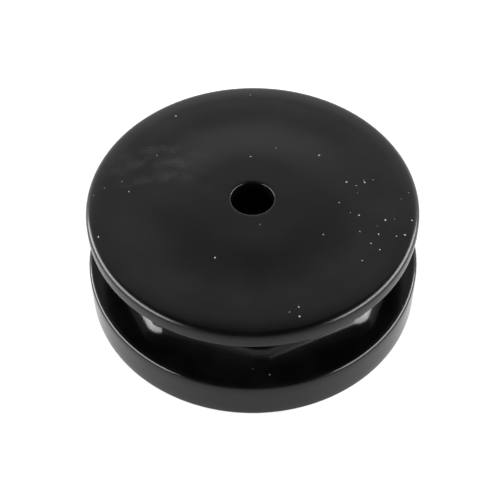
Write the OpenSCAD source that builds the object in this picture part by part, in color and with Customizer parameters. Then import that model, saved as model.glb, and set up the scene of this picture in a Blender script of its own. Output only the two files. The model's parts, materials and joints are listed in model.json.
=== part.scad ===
// Grooved rope sheave, moulded in two halves.
// Units are millimetres. The axle runs along Z and the sheave stands on its thick flange.
// The thick lower flange and the eight-sided waist are one moulding.
// The thin upper flange closes the groove. Its eight-sided tongue is pressed into the waist.

/* [Overall] */
// Diameter of the thick lower flange
lower_flange_d = 50.8; // [50:0.1:54]
// Diameter of the thin upper flange
upper_flange_d = 49.4; // [48.4:0.1:52]
// Width of the whole sheave along its axle
sheave_w = 19.05; // [17:0.05:24]
// Thickness of the lower flange
lower_flange_t = 7; // [5:0.1:8]
// Thickness of the upper flange
upper_flange_t = 3.05; // [2.4:0.05:3.6]

/* [Rope groove] */
// Waist of the sheave, measured across two opposite flats
waist_flats = 38.1; // [36:0.1:38.4]
// Radius that the waist's eight upright corners are turned down to
waist_corner_r = 20.4; // [20.2:0.05:20.6]
// Radius where the waist meets the lower flange
waist_foot_r = 3.2; // [1:0.1:3.4]

/* [Axle bore] */
// Diameter of the bore, for a 6.35 mm axle that turns freely
bore_d = 6.4; // [6.37:0.01:6.55]
// Radius on the mouth of the bore
bore_mouth_r = 0.25; // [0.1:0.05:0.5]

/* [Tongue joint] */
// Outside of the tongue, measured across two opposite flats
tongue_flats = 33; // [28:0.1:33.4]
// Wall thickness of the tongue
tongue_t = 2.5; // [2:0.1:3.5]
// How far the tongue reaches into the waist
tongue_reach = 5; // [3:0.1:6]
// Interference on each wall of the tongue
press_fit = 0.02; // [0.01:0.01:0.05]
// Gap left below the tongue and the spigot when the upper flange is seated
bottom_gap = 0.3; // [0.1:0.1:1]
// Diameter of the spigot round the bore
spigot_d = 12.7; // [10:0.1:16]
// Gap left round the spigot
spigot_gap = 0.1; // [0.05:0.05:0.3]

/* [Edges] */
// Radius on the upper flange's outer top edge
upper_top_edge_r = 1; // [0.2:0.1:1.1]
// Radius on the upper flange's edge over the groove
upper_groove_edge_r = 0.4; // [0.2:0.1:0.8]
// Radius on the lower flange's edge under the groove
lower_groove_edge_r = 0.7; // [0.2:0.1:0.8]
// Radius on the lower flange's outer bottom edge
lower_bottom_edge_r = 0.6; // [0.2:0.1:1]

/* [Underside] */
// Depth of the ring-shaped relief in the bottom face
relief_depth = 1; // [0.9:0.1:1.4]
// Width of the rim that the sheave stands on
relief_rim_w = 3.4; // [2:0.1:5]
// Diameter of the raised pad round the bore
relief_pad_d = 16; // [12:0.5:24]
// Radius in the relief's outer and inner corners
relief_corner_r = 0.5; // [0.2:0.1:0.8]

/* [Hidden] */
$fn = 120;
SIDES = 8;
SIDE_TURN = 360 / SIDES;
// Cutters reach this far past the faces that they cut
OVERSHOOT = 1;
// The foot's arc runs this far into the flange, so that it meets the flange's top at an angle
FOOT_SINK = 0.03;
groove_w = sheave_w - lower_flange_t - upper_flange_t;
seat_z = sheave_w - upper_flange_t;
lower_flange_r = lower_flange_d / 2;
socket_depth = tongue_reach + bottom_gap;

// Profile of a disc of radius r and thickness t, with its outer bottom and top edges rounded
module disc_profile(r, t, bottom_r, top_r) {
    square([r - max(bottom_r, top_r), t]);
    translate([0, bottom_r]) square([r, t - bottom_r - top_r]);
    square([r - bottom_r, bottom_r]);
    translate([0, t - top_r]) square([r - top_r, top_r]);
    translate([r - bottom_r, bottom_r]) circle(bottom_r);
    translate([r - top_r, t - top_r]) circle(top_r);
}

// Profile of a wall at distance half from the axis, flared where it stands on the flange
module waist_profile(half) {
    difference() {
        translate([0, -OVERSHOOT]) square([half + waist_foot_r, groove_w + OVERSHOOT]);
        translate([half + waist_foot_r, waist_foot_r - FOOT_SINK]) circle(waist_foot_r);
        translate([half, waist_foot_r - FOOT_SINK]) square([waist_foot_r + OVERSHOOT, groove_w]);
    }
}

// Two opposite flats of the waist
module waist_slab() {
    for (side = [0, 1])
        mirror([side, 0, 0]) translate([0, lower_flange_r, 0])
            rotate([90, 0, 0]) linear_extrude(lower_flange_d) waist_profile(waist_flats / 2);
}

// Eight-sided waist: four pairs of flats, with the corners turned down
module waist() {
    intersection() {
        waist_slab();
        rotate([0, 0, SIDE_TURN]) waist_slab();
        rotate([0, 0, 2 * SIDE_TURN]) waist_slab();
        rotate([0, 0, 3 * SIDE_TURN]) waist_slab();
        rotate_extrude() waist_profile(waist_corner_r);
    }
}

// Upright eight-sided prism, given by its size across flats
module octagon(flats, h) {
    rotate([0, 0, SIDE_TURN / 2])
        cylinder(r = flats / 2 / cos(SIDE_TURN / 2), h = h, $fn = SIDES);
}

// Eight-sided ring, given by its outside across flats and its wall
module octagon_ring(flats, wall, h) {
    difference() {
        octagon(flats, h);
        translate([0, 0, -OVERSHOOT]) octagon(flats - 2 * wall, h + 2 * OVERSHOOT);
    }
}

// Cutter for the bore's whole length
module bore() {
    translate([0, 0, -OVERSHOOT]) cylinder(d = bore_d, h = sheave_w + 2 * OVERSHOOT);
}

// Cutter that rounds the mouth of the bore at a face that looks up along Z
module bore_mouth() {
    rotate_extrude() difference() {
        translate([0, -bore_mouth_r]) square([bore_d / 2 + bore_mouth_r, bore_mouth_r + OVERSHOOT]);
        translate([bore_d / 2 + bore_mouth_r, -bore_mouth_r]) circle(bore_mouth_r);
    }
}

// Cutter for the ring-shaped relief in the bottom face
module underside_relief() {
    outer_r = lower_flange_r - relief_rim_w;
    inner_r = relief_pad_d / 2;
    c = relief_corner_r;
    rotate_extrude() {
        translate([inner_r, -OVERSHOOT])
            square([outer_r - inner_r, relief_depth - c + OVERSHOOT]);
        translate([inner_r + c, -OVERSHOOT])
            square([outer_r - inner_r - 2 * c, relief_depth + OVERSHOOT]);
        translate([inner_r + c, relief_depth - c]) circle(c);
        translate([outer_r - c, relief_depth - c]) circle(c);
    }
}

// Cutter for the eight-sided groove and the round pocket that the upper flange plugs into
module socket() {
    translate([0, 0, seat_z - socket_depth]) {
        octagon_ring(tongue_flats, tongue_t, socket_depth + OVERSHOOT);
        cylinder(d = spigot_d + 2 * spigot_gap, h = socket_depth + OVERSHOOT);
    }
}

// Thick flange and waist, one moulding
module lower_half() {
    color([0.09, 0.09, 0.1]) difference() {
        union() {
            rotate_extrude()
                disc_profile(lower_flange_r, lower_flange_t, lower_bottom_edge_r, lower_groove_edge_r);
            translate([0, 0, lower_flange_t]) waist();
        }
        bore();
        mirror([0, 0, 1]) bore_mouth();
        underside_relief();
        socket();
    }
}

// Thin flange with its tongue, and the spigot that carries the upper end of the bore
module upper_flange() {
    color([0.11, 0.11, 0.12]) difference() {
        union() {
            translate([0, 0, seat_z]) rotate_extrude()
                disc_profile(upper_flange_d / 2, upper_flange_t, upper_groove_edge_r, upper_top_edge_r);
            translate([0, 0, seat_z - tongue_reach]) {
                octagon_ring(tongue_flats + 2 * press_fit, tongue_t + 2 * press_fit, tongue_reach);
                cylinder(d = spigot_d, h = tongue_reach);
            }
        }
        bore();
        translate([0, 0, sheave_w]) bore_mouth();
    }
}

lower_half();
upper_flange();
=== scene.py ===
"""Grooved rope sheave: two black mouldings pressed together, on a pale floor."""
import json
import math

import bpy
from mathutils import Matrix, Vector


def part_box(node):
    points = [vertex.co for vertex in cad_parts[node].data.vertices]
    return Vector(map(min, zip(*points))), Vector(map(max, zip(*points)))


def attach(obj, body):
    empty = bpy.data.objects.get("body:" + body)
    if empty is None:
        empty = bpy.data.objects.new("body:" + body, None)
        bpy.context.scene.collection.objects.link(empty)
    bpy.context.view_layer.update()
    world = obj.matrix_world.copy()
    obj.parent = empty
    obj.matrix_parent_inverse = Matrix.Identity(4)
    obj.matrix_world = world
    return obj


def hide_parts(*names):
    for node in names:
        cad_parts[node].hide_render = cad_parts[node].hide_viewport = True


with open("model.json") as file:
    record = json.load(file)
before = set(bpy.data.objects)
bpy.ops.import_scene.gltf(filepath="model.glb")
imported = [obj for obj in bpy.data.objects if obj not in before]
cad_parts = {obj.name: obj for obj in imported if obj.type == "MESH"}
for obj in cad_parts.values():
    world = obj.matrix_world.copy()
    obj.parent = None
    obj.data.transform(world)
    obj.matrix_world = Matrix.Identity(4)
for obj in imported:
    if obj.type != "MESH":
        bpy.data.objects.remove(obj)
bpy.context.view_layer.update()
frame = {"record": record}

# ---------------------------------------------------------------- sizes, in metres
MM = 0.001
lower_low, lower_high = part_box("lower_half")
upper_low, upper_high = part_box("upper_flange")
LOWER_R = (lower_high[0] - lower_low[0]) / 2
UPPER_R = (upper_high[0] - upper_low[0]) / 2
TOP_Z = upper_high[2]
SEAT_Z = lower_high[2]
TONGUE_Z = upper_low[2]
BORE_R = next(m for m in frame["record"]["mounts"] if m["name"] == "axle_bore")["dims"]["r_mm"] * MM

BORE_MOUTH_R = 0.25 * MM
LOWER_T = 7.0 * MM
WAIST_HALF = 0.75 * LOWER_R
WAIST_CORNER_R = 2.2 * MM
WAIST_FOOT_R = 3.2 * MM
SEAT_EDGE_R = 0.2 * MM
LOWER_TOP_EDGE_R = 0.7 * MM
LOWER_BOTTOM_EDGE_R = 0.6 * MM
UPPER_GROOVE_EDGE_R = 0.4 * MM
UPPER_TOP_EDGE_R = 1.0 * MM
# Degrees above level where that edge takes over from the face
UPPER_TOP_EDGE_START = 82
# The top face rolls off a little before its edge
ROLL_OFF_W = 2.0 * MM
ROLL_OFF_DEPTH = 0.12 * MM
# The top face is a little proud round the bore, and falls to a shallow ring above the tongue's wall
PROUD_HEIGHT = 0.2 * MM
SINK_START_R = 0.31 * UPPER_R
SINK_END_R = 0.68 * UPPER_R
SINK_DEPTH = 0.34 * MM
# Beyond that ring the face comes part of the way back up
RISE_END_R = 0.82 * UPPER_R
RISE_HEIGHT = 0.05 * MM
RELIEF_DEPTH = 1.0 * MM
RELIEF_RIM_W = 3.4 * MM
RELIEF_OUTER_R = LOWER_R - RELIEF_RIM_W
RELIEF_PAD_R = 8.0 * MM
RELIEF_CORNER_R = 0.5 * MM
# Radius on the edges beside the relief
BREAK_R = 0.1 * MM
SOCKET_HALF = 16.5 * MM
TONGUE_T = 2.5 * MM
TONGUE_CORNER_R = 0.3 * MM
PRESS_FIT = 0.02 * MM
BOTTOM_GAP = 0.3 * MM
SPIGOT_R = 6.35 * MM
SPIGOT_GAP = 0.1 * MM

SIDES = 8
SIDE_TURN = math.tau / SIDES
SHARP_ANGLE = math.radians(35)
# Into how many steps each stretch of a mesh is divided
CORNER_STEPS = 10
FLAT_STEPS = 26
EDGE_STEPS = 7
FACE_STEPS = 48
FOOT_STEPS = 14
SEAT_EDGE_STEPS = 4
RIM_STEPS = 4
RELIEF_STEPS = 8
BREAK_STEPS = 3


# ---------------------------------------------------------------- mesh building
def octagon(half, corner_r):
    """One turn round an octagon whose flats face X and Y, with rounded corners."""
    reach = (half - corner_r) / math.cos(SIDE_TURN / 2)
    arcs = []
    for side in range(SIDES):
        middle = (side + 0.5) * SIDE_TURN
        centre = Vector((math.cos(middle), math.sin(middle))) * reach
        arcs.append([
            centre + corner_r * Vector((math.cos(a), math.sin(a)))
            for a in (middle + SIDE_TURN * (i / CORNER_STEPS - 0.5) for i in range(CORNER_STEPS + 1))
        ])
    points = []
    for side, arc in enumerate(arcs):
        points += arc
        after = arcs[(side + 1) % SIDES][0]
        points += [arc[-1].lerp(after, i / FLAT_STEPS) for i in range(1, FLAT_STEPS)]
    return points


TURNS = [math.atan2(p.y, p.x) for p in octagon(WAIST_HALF, WAIST_CORNER_R)]


def round_row(r, z):
    """A ring of points on a circle."""
    return [(r * math.cos(a), r * math.sin(a), z) for a in TURNS]


def octagon_row(half, corner_r, z):
    """A ring of points on a rounded octagon."""
    return [(p.x, p.y, z) for p in octagon(half, corner_r)]


def arc(centre_r, centre_z, radius, start, end, steps=EDGE_STEPS):
    """Points (r, z) along an arc of a profile; angles in degrees, 0 pointing away from the axle."""
    return [
        (centre_r + radius * math.cos(a), centre_z + radius * math.sin(a))
        for a in (math.radians(start + (end - start) * i / steps) for i in range(steps + 1))
    ]


def between(start, end, steps):
    """Points (r, z) strictly between two points of a profile."""
    return [
        (start[0] + (end[0] - start[0]) * i / steps, start[1] + (end[1] - start[1]) * i / steps)
        for i in range(1, steps)
    ]


def ring_solid(name, rows):
    """A closed solid round the axle, from rows that run outwards below and back inwards above."""
    around = len(TURNS)
    verts = [point for row in rows for point in row]
    faces = []
    for i in range(len(rows)):
        this, following = i * around, (i + 1) % len(rows) * around
        for j in range(around):
            k = (j + 1) % around
            faces.append((this + j, this + k, following + k, following + j))
    mesh = bpy.data.meshes.new(name)
    mesh.from_pydata(verts, [], faces)
    mesh.validate()
    mesh.shade_smooth()
    mesh.set_sharp_from_angle(angle=SHARP_ANGLE)
    piece = bpy.data.objects.new(name, mesh)
    bpy.context.scene.collection.objects.link(piece)
    return piece


# ---------------------------------------------------------------- the two mouldings
def smooth(x):
    """Rises from 0 to 1 as x goes from 0 to 1."""
    x = min(max(x, 0.0), 1.0)
    return x * x * (3 - 2 * x)


def top_face_z(r):
    """Height of the top face at radius r."""
    sink = SINK_DEPTH * smooth((r - SINK_START_R) / (SINK_END_R - SINK_START_R))
    rise = RISE_HEIGHT * smooth((r - SINK_END_R) / (RISE_END_R - SINK_END_R))
    roll = max(0.0, (r - (UPPER_R - UPPER_TOP_EDGE_R - ROLL_OFF_W)) / ROLL_OFF_W)
    return TOP_Z + PROUD_HEIGHT - sink + rise - ROLL_OFF_DEPTH * roll ** 2


def make_upper_flange():
    """Thin flange with its tongue and spigot."""
    mouth_r = BORE_R + BORE_MOUTH_R
    face_r = UPPER_R - UPPER_TOP_EDGE_R
    mouth_z, edge_z = top_face_z(mouth_r), top_face_z(face_r)
    tongue = SOCKET_HALF + PRESS_FIT
    tongue_inside = tongue - TONGUE_T - 2 * PRESS_FIT
    profile = arc(mouth_r, mouth_z - BORE_MOUTH_R, BORE_MOUTH_R, 180, 90)
    for i in range(1, FACE_STEPS):
        r = mouth_r + (face_r - mouth_r) * i / FACE_STEPS
        profile.append((r, top_face_z(r)))
    profile += arc(face_r, edge_z - UPPER_TOP_EDGE_R, UPPER_TOP_EDGE_R, UPPER_TOP_EDGE_START, 0)
    groove_edge = UPPER_GROOVE_EDGE_R
    profile += arc(UPPER_R - groove_edge, SEAT_Z + groove_edge, groove_edge, 0, -90)
    rows = [round_row(r, z) for r, z in profile]
    for half, z in (
        (tongue, SEAT_Z),
        (tongue, TONGUE_Z),
        (tongue_inside, TONGUE_Z),
        (tongue_inside, SEAT_Z),
    ):
        rows.append(octagon_row(half, TONGUE_CORNER_R, z))
    rows += [round_row(SPIGOT_R, SEAT_Z), round_row(SPIGOT_R, TONGUE_Z), round_row(BORE_R, TONGUE_Z)]
    return ring_solid("upper_flange_moulding", rows[::-1])


def underside_profile():
    """Profile of the bottom face, from the bore out to the foot of the rim."""
    inner, outer, top = RELIEF_PAD_R, RELIEF_OUTER_R, RELIEF_DEPTH
    profile = arc(BORE_R + BORE_MOUTH_R, BORE_MOUTH_R, BORE_MOUTH_R, 180, 270)
    profile += arc(inner - BREAK_R, BREAK_R, BREAK_R, -90, 0, BREAK_STEPS)
    corner = RELIEF_CORNER_R
    profile += arc(inner + corner, top - corner, corner, 180, 90)
    profile += between((inner + corner, top), (outer - corner, top), RELIEF_STEPS)
    profile += arc(outer - corner, top - corner, corner, 90, 0)
    profile += arc(outer + BREAK_R, BREAK_R, BREAK_R, 180, 270, BREAK_STEPS)
    return profile


def make_lower_half():
    """Thick flange and eight-sided waist, with the socket in the top of the waist."""
    profile = underside_profile()
    bottom_edge, top_edge = LOWER_BOTTOM_EDGE_R, LOWER_TOP_EDGE_R
    profile += arc(LOWER_R - bottom_edge, bottom_edge, bottom_edge, -90, 0)
    profile += between((LOWER_R, bottom_edge), (LOWER_R, LOWER_T - top_edge), RIM_STEPS)
    profile += arc(LOWER_R - top_edge, LOWER_T - top_edge, top_edge, 0, 90)
    rows = [round_row(r, z) for r, z in profile]
    foot = arc(WAIST_FOOT_R, LOWER_T + WAIST_FOOT_R, WAIST_FOOT_R, 270, 180, FOOT_STEPS)
    head = arc(-SEAT_EDGE_R, SEAT_Z - SEAT_EDGE_R, SEAT_EDGE_R, 0, 90, SEAT_EDGE_STEPS)
    for flare, z in foot + head:
        rows.append(octagon_row(WAIST_HALF + flare, WAIST_CORNER_R + flare, z))
    floor_z = TONGUE_Z - BOTTOM_GAP
    for half, z in (
        (SOCKET_HALF, SEAT_Z),
        (SOCKET_HALF, floor_z),
        (SOCKET_HALF - TONGUE_T, floor_z),
        (SOCKET_HALF - TONGUE_T, SEAT_Z),
    ):
        rows.append(octagon_row(half, TONGUE_CORNER_R, z))
    pocket_r = SPIGOT_R + SPIGOT_GAP
    rows += [round_row(pocket_r, SEAT_Z), round_row(pocket_r, floor_z), round_row(BORE_R, floor_z)]
    return ring_solid("lower_half_moulding", rows)


# ---------------------------------------------------------------- materials
# Marks are placed as seen from the camera's side, so the material turns its coordinates to match
VIEW_TURN = math.radians(19.5)
# Upward part of the surface's normal where marks begin to show, and where they show fully
UP_START = 0.9
UP_FULL = 0.99
# A region of marks is at its full strength out to this share of its radius
CORE_SHARE = 0.25

# The plastic. Scales of noise, here and below, are in cycles a metre
CLEAN_COLOUR = (0.0008, 0.0008, 0.0009, 1)
WORN_COLOUR = (0.012, 0.012, 0.0123, 1)
UPPER_ROUGHNESS = 0.2
LOWER_ROUGHNESS = 0.14
WORN_ROUGHNESS = 0.45
PLASTIC_IOR = 1.45
PLASTIC_SPECULAR = 0.18
UPPER_GRAIN_SCALE = 5000
LOWER_GRAIN_SCALE = 4200
GRAIN_DETAIL = 2.0
GRAIN_DEPTH = 0.02 * MM
GRAIN_STRENGTH = 0.4
GRAIN_ROUGHNESS = 0.05
PATCH_SCALE = 170
PATCH_DETAIL = 4.0
PATCH_WEAR = 0.08

# The haze of handling on the top face grows from the first radius to the second
HAZE_START_R = 11 * MM
HAZE_FULL_R = 18 * MM
HAZE_SCALE = 110
HAZE_WEAR = 0.2
# Arcs rubbed into the top face round one centre: radius, half width, depth
RUB_CENTRE = (-13.5 * MM, -5.5 * MM)
RUB_ARCS = (
    (4.8 * MM, 1.4 * MM, 0.5),
    (10.3 * MM, 2.1 * MM, 0.9),
    (13.4 * MM, 2.4 * MM, 1.0),
    (16 * MM, 2.2 * MM, 0.9),
)
# They show inside this region: x, y, radius
RUB_REGION = (-14.0 * MM, 6.0 * MM, 11 * MM)
RUB_LINE_SCALE = 3600
RUB_CLOUD_SCALE = 420
RUB_CLOUD_DETAIL = 8.0
RUB_WEAR = 0.8

DUST_COLOUR = (0.3, 0.29, 0.27, 1)
DUST_ROUGHNESS = 0.9
# There is at most one speck in a cell. It is bent out of round by this share of the cell
DUST_BEND = 0.35
DUST_BEND_SCALE = 2600
# In cells: the smallest speck's radius, what the largest adds to it, and the radius of the solid core
SPECK_R = 0.05
SPECK_R_SPREAD = 0.11
SPECK_CORE_R = 0.02
# Reaches past the whole sheave
EVERYWHERE_R = 90 * MM
# Regions of dust: x, y, radius, share of cells with a speck. Most lies along the right-hand edge
TOP_DUST_CELL = 1.3 * MM
TOP_DUST = (
    (18.5 * MM, -1 * MM, 8.5 * MM, 0.3),
    (19 * MM, -8 * MM, 6 * MM, 0.2),
    (-20 * MM, 4 * MM, 6 * MM, 0.16),
    (0, 0, EVERYWHERE_R, 0.014),
)
GROOVE_DUST_CELL = 0.8 * MM
GROOVE_DUST = ((0, 0, EVERYWHERE_R, 0.012),)


def add(tree, kind, links=None, **settings):
    """Adds a node, sets its properties, and links or sets its inputs by name or number."""
    made = tree.nodes.new(kind)
    for key, value in settings.items():
        setattr(made, key, value)
    for key, value in (links or {}).items():
        if isinstance(value, bpy.types.NodeSocket):
            tree.links.new(value, made.inputs[key])
        else:
            made.inputs[key].default_value = value
    return made


def maths(tree, operation, a, b=0.0, clamp=False):
    """The result of a Math node."""
    return add(tree, "ShaderNodeMath", {0: a, 1: b}, operation=operation, use_clamp=clamp).outputs[0]


def product(tree, *values):
    """Several values multiplied together."""
    result = values[0]
    for value in values[1:]:
        result = maths(tree, "MULTIPLY", result, value)
    return result


def mapped(tree, value, low, high, out_low=0.0, out_high=1.0):
    """A value mapped smoothly from low..high to out_low..out_high, and kept inside it."""
    links = {"Value": value, "From Min": low, "From Max": high, "To Min": out_low, "To Max": out_high}
    return add(tree, "ShaderNodeMapRange", links, interpolation_type="SMOOTHSTEP").outputs["Result"]


def noise(tree, where, scale, detail=3.0):
    """Noise from 0 to 1, at a scale in cycles a metre."""
    links = {"Vector": where, "Scale": scale, "Detail": detail}
    return add(tree, "ShaderNodeTexNoise", links).outputs["Fac"]


def distance_from(tree, where, x, y):
    """Distance from the upright line through (x, y)."""
    flat = add(tree, "ShaderNodeVectorMath", {0: where, 1: (1, 1, 0)}, operation="MULTIPLY").outputs[0]
    links = {0: flat, 1: (x, y, 0)}
    return add(tree, "ShaderNodeVectorMath", links, operation="DISTANCE").outputs["Value"]


def near(tree, where, x, y, radius):
    """1 close to the upright line through (x, y), falling smoothly to 0 at a radius from it."""
    return mapped(tree, distance_from(tree, where, x, y), radius, CORE_SHARE * radius)


def either(tree, *values):
    """The largest of several values."""
    result = values[0]
    for value in values[1:]:
        result = maths(tree, "MAXIMUM", result, value)
    return result


def facing_up(tree):
    """1 where the surface looks up, 0 elsewhere."""
    normal = add(tree, "ShaderNodeNewGeometry").outputs["Normal"]
    up = add(tree, "ShaderNodeSeparateXYZ", {0: normal}).outputs["Z"]
    return mapped(tree, up, UP_START, UP_FULL)


def scuffs(tree, where):
    """Wear on the top face: a haze round its outer part, and arcs rubbed into its left side."""
    rings = distance_from(tree, where, 0, 0)
    uneven = mapped(tree, noise(tree, where, HAZE_SCALE), 0.25, 0.75, 0.4, 1.0)
    handled = product(tree, mapped(tree, rings, HAZE_START_R, HAZE_FULL_R), uneven, HAZE_WEAR)

    r = distance_from(tree, where, *RUB_CENTRE)
    bands = []
    for radius, half_width, depth in RUB_ARCS:
        off = maths(tree, "ABSOLUTE", maths(tree, "SUBTRACT", r, radius))
        bands.append(mapped(tree, off, half_width, 0.0, 0.0, depth))
    band = either(tree, *bands)
    turn = add(tree, "ShaderNodeCombineXYZ", {"X": r}).outputs[0]
    lines = mapped(tree, noise(tree, turn, RUB_LINE_SCALE), 0.35, 0.65, 0.45, 1.0)
    cloudy = mapped(tree, noise(tree, where, RUB_CLOUD_SCALE, RUB_CLOUD_DETAIL), 0.34, 0.66, 0.2, 1.0)
    region = near(tree, where, *RUB_REGION)
    rubbed = product(tree, band, lines, cloudy, region, RUB_WEAR)
    return product(tree, either(tree, handled, rubbed), facing_up(tree))


def dust(tree, where, cell, regions):
    """Specks of dust on faces that look up, in regions of (x, y, radius, share of cells with a speck)."""
    flat = add(tree, "ShaderNodeVectorMath", {0: where, 1: (1, 1, 0)}, operation="MULTIPLY").outputs[0]
    ragged = add(tree, "ShaderNodeTexNoise", {"Vector": flat, "Scale": DUST_BEND_SCALE}).outputs["Color"]
    links = {0: ragged, 1: (DUST_BEND * cell, DUST_BEND * cell, 0), 2: flat}
    bent = add(tree, "ShaderNodeVectorMath", links, operation="MULTIPLY_ADD").outputs[0]
    links = {"Vector": bent, "Scale": 1 / cell}
    cells = add(tree, "ShaderNodeTexVoronoi", links, voronoi_dimensions="2D")
    chance, size = add(tree, "ShaderNodeSeparateColor", {0: cells.outputs["Color"]}).outputs[:2]
    reach = maths(tree, "ADD", maths(tree, "MULTIPLY", size, SPECK_R_SPREAD), SPECK_R)
    dot = mapped(tree, cells.outputs["Distance"], reach, SPECK_CORE_R)
    share = either(tree, *[
        maths(tree, "MULTIPLY", near(tree, where, x, y, radius), amount)
        for x, y, radius, amount in regions
    ])
    chosen = maths(tree, "LESS_THAN", chance, share)
    return product(tree, dot, chosen, facing_up(tree))


def black_plastic(name, grain_scale, clean_roughness, dust_cell, dust_regions, marks=None):
    """Black moulded plastic with a fine mould texture and dust, and handling marks where asked."""
    material = bpy.data.materials.new(name)
    material.use_nodes = True
    tree = material.node_tree
    shader = tree.nodes["Principled BSDF"]
    place = add(tree, "ShaderNodeTexCoord").outputs["Object"]
    links = {"Vector": place, "Angle": -VIEW_TURN}
    turned = add(tree, "ShaderNodeVectorRotate", links, rotation_type="Z_AXIS").outputs["Vector"]

    grain = noise(tree, place, grain_scale, GRAIN_DETAIL)
    patches = mapped(tree, noise(tree, place, PATCH_SCALE, PATCH_DETAIL), 0.35, 0.7)
    worn = maths(tree, "MULTIPLY", patches, PATCH_WEAR)
    if marks:
        worn = maths(tree, "ADD", worn, marks(tree, turned), clamp=True)
    links = {"Factor": worn, "A": CLEAN_COLOUR, "B": WORN_COLOUR}
    colour = add(tree, "ShaderNodeMix", links, data_type="RGBA").outputs["Result"]
    roughness = mapped(tree, worn, 0.0, 1.0, clean_roughness, WORN_ROUGHNESS)
    roughness = maths(tree, "ADD", roughness, maths(tree, "MULTIPLY", grain, GRAIN_ROUGHNESS))
    speck = dust(tree, turned, dust_cell, dust_regions)
    links = {"Factor": speck, "A": colour, "B": DUST_COLOUR}
    colour = add(tree, "ShaderNodeMix", links, data_type="RGBA").outputs["Result"]
    roughness = either(tree, roughness, maths(tree, "MULTIPLY", speck, DUST_ROUGHNESS))
    links = {"Height": grain, "Strength": GRAIN_STRENGTH, "Distance": GRAIN_DEPTH}
    bump = add(tree, "ShaderNodeBump", links).outputs["Normal"]
    tree.links.new(colour, shader.inputs["Base Color"])
    tree.links.new(roughness, shader.inputs["Roughness"])
    tree.links.new(bump, shader.inputs["Normal"])
    shader.inputs["IOR"].default_value = PLASTIC_IOR
    shader.inputs["Specular IOR Level"].default_value = PLASTIC_SPECULAR
    return material


# ---------------------------------------------------------------- studio
FLOOR_SIZE = 4
# Keeps the floor and the face that the sheave stands on from sharing one plane
FLOOR_GAP = 0.02 * MM
FLOOR_COLOUR = (0.35, 0.35, 0.35, 1)
FLOOR_ROUGHNESS = 0.9
FLOOR_SPECULAR = 0.1
FLOOR_GLOW = 0.58

# Grey levels of the room by the height of the direction looked in, from 0 level to 1 overhead
ROOM_BEHIND = (
    (0.0, 1.0), (0.6, 0.95), (0.69, 0.44), (0.72, 0.38), (0.84, 0.37), (0.885, 0.2), (0.925, 0.015),
)
ROOM_IN_FRONT = ((0.0, 0.35), (0.12, 0.3), (0.42, 0.03), (1.0, 0.02))
# One gives way to the other between these two; -1 is straight behind the sheave, 1 the camera's side
BEHIND_END = -0.5
FRONT_START = -0.2
ROOM_STRENGTH = 2.6

SOFTBOX_DISTANCE = 0.58
SOFTBOX_HEIGHT = 0.28

CAMERA_DISTANCE = 7.459 * UPPER_R
CAMERA_ELEVATION = math.radians(48.087)
# How far the camera is turned from looking straight at the middle of the top face
AIM_DOWN = math.radians(2.349)
AIM_LEFT = math.radians(0.112)
ROLL = math.radians(0.489)
LENS_MM = 89.646
SENSOR_MM = 36


def make_floor():
    """Pale matt floor, just clear of the sheave."""
    bpy.ops.mesh.primitive_plane_add(size=FLOOR_SIZE)
    floor = bpy.context.object
    floor.name = "floor"
    floor.location.z = -FLOOR_GAP
    material = bpy.data.materials.new("pale_floor")
    material.use_nodes = True
    shader = material.node_tree.nodes["Principled BSDF"]
    shader.inputs["Base Color"].default_value = FLOOR_COLOUR
    shader.inputs["Roughness"].default_value = FLOOR_ROUGHNESS
    shader.inputs["Specular IOR Level"].default_value = FLOOR_SPECULAR
    shader.inputs["Emission Color"].default_value = (1, 1, 1, 1)
    shader.inputs["Emission Strength"].default_value = FLOOR_GLOW
    floor.data.materials.append(material)


def levels(tree, value, stops):
    """A grey level read off (value, level) stops."""
    ramp = add(tree, "ShaderNodeValToRGB", {0: value})
    elements = ramp.color_ramp.elements
    for element, (position, level) in zip(elements, (stops[0], stops[-1])):
        element.position, element.color = position, (level, level, level, 1)
    for position, level in stops[1:-1]:
        elements.new(position).color = (level, level, level, 1)
    return ramp.outputs["Color"]


def make_surroundings():
    """Room light: bright low down and behind the sheave, dark overhead and above the camera."""
    world = bpy.data.worlds.new("room")
    bpy.context.scene.world = world
    world.use_nodes = True
    tree = world.node_tree
    direction = add(tree, "ShaderNodeTexCoord").outputs["Generated"]
    height = add(tree, "ShaderNodeSeparateXYZ", {0: direction}).outputs["Z"]
    links = {0: direction, 1: (math.sin(VIEW_TURN), -math.cos(VIEW_TURN), 0)}
    ahead = add(tree, "ShaderNodeVectorMath", links, operation="DOT_PRODUCT").outputs["Value"]
    behind = levels(tree, height, ROOM_BEHIND)
    front = levels(tree, height, ROOM_IN_FRONT)
    links = {"Factor": mapped(tree, ahead, BEHIND_END, FRONT_START), "A": behind, "B": front}
    room = add(tree, "ShaderNodeMix", links, data_type="RGBA").outputs["Result"]
    tree.links.new(room, tree.nodes["Background"].inputs["Color"])
    tree.nodes["Background"].inputs["Strength"].default_value = ROOM_STRENGTH


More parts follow.
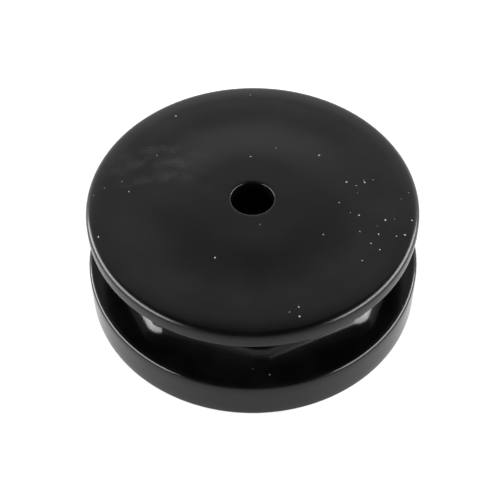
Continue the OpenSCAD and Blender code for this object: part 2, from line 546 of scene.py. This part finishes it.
def add_softbox(name, azimuth, elevation, width, power):
    """A soft light aimed at the sheave, placed by its angle round from the camera's side."""
    light = bpy.data.lights.new(name, "AREA")
    light.shape = "RECTANGLE"
    light.size = width
    light.size_y = SOFTBOX_HEIGHT
    light.energy = power
    softbox = bpy.data.objects.new(name, light)
    softbox.visible_camera = False
    bpy.context.scene.collection.objects.link(softbox)
    turn, lift = math.radians(azimuth) + VIEW_TURN, math.radians(elevation)
    aim = Vector((0, 0, TOP_Z / 2))
    away = Vector((math.sin(turn) * math.cos(lift), -math.cos(turn) * math.cos(lift), math.sin(lift)))
    softbox.location = aim + away * SOFTBOX_DISTANCE
    softbox.rotation_euler = (-away).to_track_quat("-Z", "Y").to_euler()


def make_camera():
    """A long lens that looks down at the sheave, from far enough away for mild perspective."""
    back = Vector((0, -math.cos(CAMERA_ELEVATION), math.sin(CAMERA_ELEVATION)))
    right = Vector((1, 0, 0))
    up = right.cross(-back)
    axes = Matrix((right, up, back)).transposed()
    turn = Matrix.Rotation(VIEW_TURN, 3, "Z")
    tilt = Matrix.Rotation(-ROLL, 3, "Z")
    tilt = tilt @ Matrix.Rotation(AIM_LEFT, 3, "Y") @ Matrix.Rotation(-AIM_DOWN, 3, "X")
    camera = bpy.data.cameras.new("camera")
    camera.sensor_width = SENSOR_MM
    camera.lens = LENS_MM
    camera.clip_start = MM
    holder = bpy.data.objects.new("camera", camera)
    bpy.context.scene.collection.objects.link(holder)
    place = Vector((0, 0, TOP_Z)) + back * CAMERA_DISTANCE
    holder.matrix_world = Matrix.Translation(turn @ place) @ (turn @ axes @ tilt).to_4x4()
    bpy.context.scene.camera = holder


# ---------------------------------------------------------------- build
upper_flange = make_upper_flange()
upper_flange.data.materials.append(black_plastic(
    "upper_flange_plastic", UPPER_GRAIN_SCALE, UPPER_ROUGHNESS, TOP_DUST_CELL, TOP_DUST, scuffs
))
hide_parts("upper_flange")
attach(upper_flange, "sheave")

lower_half = make_lower_half()
lower_half.data.materials.append(black_plastic(
    "lower_half_plastic", LOWER_GRAIN_SCALE, LOWER_ROUGHNESS, GROOVE_DUST_CELL, GROOVE_DUST
))
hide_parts("lower_half")
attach(lower_half, "sheave")

make_floor()
make_surroundings()
add_softbox("left_light", azimuth=-84, elevation=13, width=0.9, power=18)
add_softbox("right_light", azimuth=82, elevation=14, width=0.8, power=16)
make_camera()
bpy.context.scene.view_settings.view_transform = "Standard"
